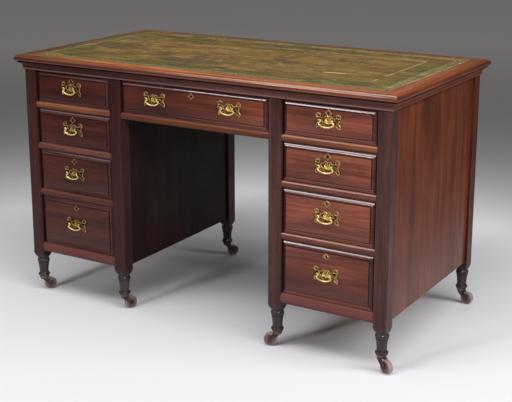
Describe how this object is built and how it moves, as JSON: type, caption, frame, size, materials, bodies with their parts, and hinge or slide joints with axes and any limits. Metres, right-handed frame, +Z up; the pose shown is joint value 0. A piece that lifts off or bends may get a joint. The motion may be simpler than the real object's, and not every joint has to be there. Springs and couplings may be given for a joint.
{
  "type": "kneehole desk",
  "caption": "Rectangular one-piece kneehole desk: leather-lined moulded top, graduated pedestal drawers beside a frieze drawer, swan-neck brass pulls, turned feet on swivel casters.",
  "frame": {"origin": "on the floor under the middle of the desk", "axes": "+Z up, +X to the right of someone facing the drawers, -Y towards the sitter"},
  "size_m": [1.27, 0.67, 0.762],
  "materials": {
    "mahogany": "french polished",
    "mahogany_top": "french polished",
    "mahogany_dark": "french polished, darkened",
    "tooled_leather": "worn, gilt tooled",
    "brass": "aged polish",
    "caster_iron": "dark bronzed",
    "caster_wheel": "turned hardwood, worn"
  },
  "bodies": {
    "desk_frame": {"top_border": "mahogany_top", "top_panel": "mahogany_top", "leather_inset": "tooled_leather", "corner_posts": "mahogany_dark", "pedestal_panels": "mahogany", "rails_and_runners": "mahogany", "caster_sockets": "brass"},
    "drawer_left_1": {"drawer_left_1_box": "mahogany", "drawer_left_1_brassware": "brass"},
    "lock_left_1": {"drawer_left_1_lock_bolt": "brass"},
    "bail_left_1": {"bail_left_1": "brass"},
    "drawer_left_2": {"drawer_left_2_box": "mahogany", "drawer_left_2_brassware": "brass"},
    "lock_left_2": {"drawer_left_2_lock_bolt": "brass"},
    "bail_left_2": {"bail_left_2": "brass"},
    "drawer_left_3": {"drawer_left_3_box": "mahogany", "drawer_left_3_brassware": "brass"},
    "lock_left_3": {"drawer_left_3_lock_bolt": "brass"},
    "bail_left_3": {"bail_left_3": "brass"},
    "drawer_left_4": {"drawer_left_4_box": "mahogany", "drawer_left_4_brassware": "brass"},
    "lock_left_4": {"drawer_left_4_lock_bolt": "brass"},
    "bail_left_4": {"bail_left_4": "brass"},
    "drawer_right_1": {"drawer_right_1_box": "mahogany", "drawer_right_1_brassware": "brass"},
    "lock_right_1": {"drawer_right_1_lock_bolt": "brass"},
    "bail_right_1": {"bail_right_1": "brass"},
    "drawer_right_2": {"drawer_right_2_box": "mahogany", "drawer_right_2_brassware": "brass"},
    "lock_right_2": {"drawer_right_2_lock_bolt": "brass"},
    "bail_right_2": {"bail_right_2": "brass"},
    "drawer_right_3": {"drawer_right_3_box": "mahogany", "drawer_right_3_brassware": "brass"},
    "lock_right_3": {"drawer_right_3_lock_bolt": "brass"},
    "bail_right_3": {"bail_right_3": "brass"},
    "drawer_right_4": {"drawer_right_4_box": "mahogany", "drawer_right_4_brassware": "brass"},
    "lock_right_4": {"drawer_right_4_lock_bolt": "brass"},
    "bail_right_4": {"bail_right_4": "brass"},
    "drawer_centre": {"drawer_centre_box": "mahogany", "drawer_centre_brassware": "brass"},
    "lock_centre": {"drawer_centre_lock_bolt": "brass"},
    "bail_centre_left": {"bail_centre_left": "brass"},
    "bail_centre_right": {"bail_centre_right": "brass"},
    "swivel_front_left_outer": {"caster_front_left_outer_horn": "caster_iron"},
    "wheel_front_left_outer": {"caster_front_left_outer_wheel": "caster_wheel"},
    "swivel_front_left_inner": {"caster_front_left_inner_horn": "caster_iron"},
    "wheel_front_left_inner": {"caster_front_left_inner_wheel": "caster_wheel"},
    "swivel_front_right_outer": {"caster_front_right_outer_horn": "caster_iron"},
    "wheel_front_right_outer": {"caster_front_right_outer_wheel": "caster_wheel"},
    "swivel_front_right_inner": {"caster_front_right_inner_horn": "caster_iron"},
    "wheel_front_right_inner": {"caster_front_right_inner_wheel": "caster_wheel"},
    "swivel_back_left_outer": {"caster_back_left_outer_horn": "caster_iron"},
    "wheel_back_left_outer": {"caster_back_left_outer_wheel": "caster_wheel"},
    "swivel_back_left_inner": {"caster_back_left_inner_horn": "caster_iron"},
    "wheel_back_left_inner": {"caster_back_left_inner_wheel": "caster_wheel"},
    "swivel_back_right_outer": {"caster_back_right_outer_horn": "caster_iron"},
    "wheel_back_right_outer": {"caster_back_right_outer_wheel": "caster_wheel"},
    "swivel_back_right_inner": {"caster_back_right_inner_horn": "caster_iron"},
    "wheel_back_right_inner": {"caster_back_right_inner_wheel": "caster_wheel"}
  },
  "joints": [
    {"name": "drawer_left_1_slide", "type": "slide", "parent": "desk_frame", "child": "drawer_left_1", "axis": [0, -1, 0], "range_m": [0, 0.38]},
    {"name": "drawer_left_2_slide", "type": "slide", "parent": "desk_frame", "child": "drawer_left_2", "axis": [0, -1, 0], "range_m": [0, 0.38]},
    {"name": "drawer_left_3_slide", "type": "slide", "parent": "desk_frame", "child": "drawer_left_3", "axis": [0, -1, 0], "range_m": [0, 0.38]},
    {"name": "drawer_left_4_slide", "type": "slide", "parent": "desk_frame", "child": "drawer_left_4", "axis": [0, -1, 0], "range_m": [0, 0.38]},
    {"name": "drawer_right_1_slide", "type": "slide", "parent": "desk_frame", "child": "drawer_right_1", "axis": [0, -1, 0], "range_m": [0, 0.38]},
    {"name": "drawer_right_2_slide", "type": "slide", "parent": "desk_frame", "child": "drawer_right_2", "axis": [0, -1, 0], "range_m": [0, 0.38]},
    {"name": "drawer_right_3_slide", "type": "slide", "parent": "desk_frame", "child": "drawer_right_3", "axis": [0, -1, 0], "range_m": [0, 0.38]},
    {"name": "drawer_right_4_slide", "type": "slide", "parent": "desk_frame", "child": "drawer_right_4", "axis": [0, -1, 0], "range_m": [0, 0.38]},
    {"name": "drawer_centre_slide", "type": "slide", "parent": "desk_frame", "child": "drawer_centre", "axis": [0, -1, 0], "range_m": [0, 0.38]},
    {"name": "handle_left_1_swing", "type": "hinge", "parent": "drawer_left_1", "child": "bail_left_1", "pos_m": [-0.431, -0.3255, 0.67575], "axis": [-1, 0, 0], "range_deg": [0, 90]},
    {"name": "handle_left_2_swing", "type": "hinge", "parent": "drawer_left_2", "child": "bail_left_2", "pos_m": [-0.431, -0.3255, 0.55325], "axis": [-1, 0, 0], "range_deg": [0, 90]},
    {"name": "handle_left_3_swing", "type": "hinge", "parent": "drawer_left_3", "child": "bail_left_3", "pos_m": [-0.431, -0.3255, 0.41525], "axis": [-1, 0, 0], "range_deg": [0, 90]},
    {"name": "handle_left_4_swing", "type": "hinge", "parent": "drawer_left_4", "child": "bail_left_4", "pos_m": [-0.431, -0.3255, 0.25325], "axis": [-1, 0, 0], "range_deg": [0, 90]},
    {"name": "handle_right_1_swing", "type": "hinge", "parent": "drawer_right_1", "child": "bail_right_1", "pos_m": [0.431, -0.3255, 0.67575], "axis": [-1, 0, 0], "range_deg": [0, 90]},
    {"name": "handle_right_2_swing", "type": "hinge", "parent": "drawer_right_2", "child": "bail_right_2", "pos_m": [0.431, -0.3255, 0.55325], "axis": [-1, 0, 0], "range_deg": [0, 90]},
    {"name": "handle_right_3_swing", "type": "hinge", "parent": "drawer_right_3", "child": "bail_right_3", "pos_m": [0.431, -0.3255, 0.41525], "axis": [-1, 0, 0], "range_deg": [0, 90]},
    {"name": "handle_right_4_swing", "type": "hinge", "parent": "drawer_right_4", "child": "bail_right_4", "pos_m": [0.431, -0.3255, 0.25325], "axis": [-1, 0, 0], "range_deg": [0, 90]},
    {"name": "handle_centre_left_swing", "type": "hinge", "parent": "drawer_centre", "child": "bail_centre_left", "pos_m": [-0.126, -0.3255, 0.67575], "axis": [-1, 0, 0], "range_deg": [0, 90]},
    {"name": "handle_centre_right_swing", "type": "hinge", "parent": "drawer_centre", "child": "bail_centre_right", "pos_m": [0.126, -0.3255, 0.67575], "axis": [-1, 0, 0], "range_deg": [0, 90]},
    {"name": "lock_left_1_throw", "type": "slide", "parent": "drawer_left_1", "child": "lock_left_1", "axis": [0, 0, 1], "range_m": [0, 0.008]},
    {"name": "lock_left_2_throw", "type": "slide", "parent": "drawer_left_2", "child": "lock_left_2", "axis": [0, 0, 1], "range_m": [0, 0.008]},
    {"name": "lock_left_3_throw", "type": "slide", "parent": "drawer_left_3", "child": "lock_left_3", "axis": [0, 0, 1], "range_m": [0, 0.008]},
    {"name": "lock_left_4_throw", "type": "slide", "parent": "drawer_left_4", "child": "lock_left_4", "axis": [0, 0, 1], "range_m": [0, 0.008]},
    {"name": "lock_right_1_throw", "type": "slide", "parent": "drawer_right_1", "child": "lock_right_1", "axis": [0, 0, 1], "range_m": [0, 0.008]},
    {"name": "lock_right_2_throw", "type": "slide", "parent": "drawer_right_2", "child": "lock_right_2", "axis": [0, 0, 1], "range_m": [0, 0.008]},
    {"name": "lock_right_3_throw", "type": "slide", "parent": "drawer_right_3", "child": "lock_right_3", "axis": [0, 0, 1], "range_m": [0, 0.008]},
    {"name": "lock_right_4_throw", "type": "slide", "parent": "drawer_right_4", "child": "lock_right_4", "axis": [0, 0, 1], "range_m": [0, 0.008]},
    {"name": "lock_centre_throw", "type": "slide", "parent": "drawer_centre", "child": "lock_centre", "axis": [0, 0, 1], "range_m": [0, 0.008]},
    {"name": "swivel_front_left_outer_turn", "type": "hinge", "parent": "desk_frame", "child": "swivel_front_left_outer", "pos_m": [-0.592, -0.292, 0.042], "axis": [0, 0, 1], "continuous": true},
    {"name": "swivel_front_left_inner_turn", "type": "hinge", "parent": "desk_frame", "child": "swivel_front_left_inner", "pos_m": [-0.27, -0.292, 0.042], "axis": [0, 0, 1], "continuous": true},
    {"name": "swivel_front_right_outer_turn", "type": "hinge", "parent": "desk_frame", "child": "swivel_front_right_outer", "pos_m": [0.592, -0.292, 0.042], "axis": [0, 0, 1], "continuous": true},
    {"name": "swivel_front_right_inner_turn", "type": "hinge", "parent": "desk_frame", "child": "swivel_front_right_inner", "pos_m": [0.27, -0.292, 0.042], "axis": [0, 0, 1], "continuous": true},
    {"name": "swivel_back_left_outer_turn", "type": "hinge", "parent": "desk_frame", "child": "swivel_back_left_outer", "pos_m": [-0.592, 0.292, 0.042], "axis": [0, 0, 1], "continuous": true},
    {"name": "swivel_back_left_inner_turn", "type": "hinge", "parent": "desk_frame", "child": "swivel_back_left_inner", "pos_m": [-0.27, 0.292, 0.042], "axis": [0, 0, 1], "continuous": true},
    {"name": "swivel_back_right_outer_turn", "type": "hinge", "parent": "desk_frame", "child": "swivel_back_right_outer", "pos_m": [0.592, 0.292, 0.042], "axis": [0, 0, 1], "continuous": true},
    {"name": "swivel_back_right_inner_turn", "type": "hinge", "parent": "desk_frame", "child": "swivel_back_right_inner", "pos_m": [0.27, 0.292, 0.042], "axis": [0, 0, 1], "continuous": true},
    {"name": "wheel_front_left_outer_spin", "type": "hinge", "parent": "swivel_front_left_outer", "child": "wheel_front_left_outer", "pos_m": [-0.58261, -0.27434, 0.019], "axis": [-0.8829, 0.4695, 0], "continuous": true},
    {"name": "wheel_front_left_inner_spin", "type": "hinge", "parent": "swivel_front_left_inner", "child": "wheel_front_left_inner", "pos_m": [-0.26187, -0.27373, 0.019], "axis": [-0.9135, 0.4067, 0], "continuous": true},
    {"name": "wheel_front_right_outer_spin", "type": "hinge", "parent": "swivel_front_right_outer", "child": "wheel_front_right_outer", "pos_m": [0.61054, -0.29949, 0.019], "axis": [0.3746, 0.9272, 0], "continuous": true},
    {"name": "wheel_front_right_inner_spin", "type": "hinge", "parent": "swivel_front_right_inner", "child": "wheel_front_right_inner", "pos_m": [0.25087, -0.29785, 0.019], "axis": [0.2924, -0.9563, 0], "continuous": true},
    {"name": "wheel_back_left_outer_spin", "type": "hinge", "parent": "swivel_back_left_outer", "child": "wheel_back_left_outer", "pos_m": [-0.57668, 0.30486, 0.019], "axis": [-0.6428, 0.766, 0], "continuous": true},
    {"name": "wheel_back_left_inner_spin", "type": "hinge", "parent": "swivel_back_left_inner", "child": "wheel_back_left_inner", "pos_m": [-0.25586, 0.30614, 0.019], "axis": [-0.7071, 0.7071, 0], "continuous": true},
    {"name": "wheel_back_right_outer_spin", "type": "hinge", "parent": "swivel_back_right_outer", "child": "wheel_back_right_outer", "pos_m": [0.61192, 0.29026, 0.019], "axis": [0.0872, 0.9962, 0], "continuous": true},
    {"name": "wheel_back_right_inner_spin", "type": "hinge", "parent": "swivel_back_right_inner", "child": "wheel_back_right_inner", "pos_m": [0.2503, 0.29547, 0.019], "axis": [-0.1736, -0.9848, 0], "continuous": true}
  ]
}
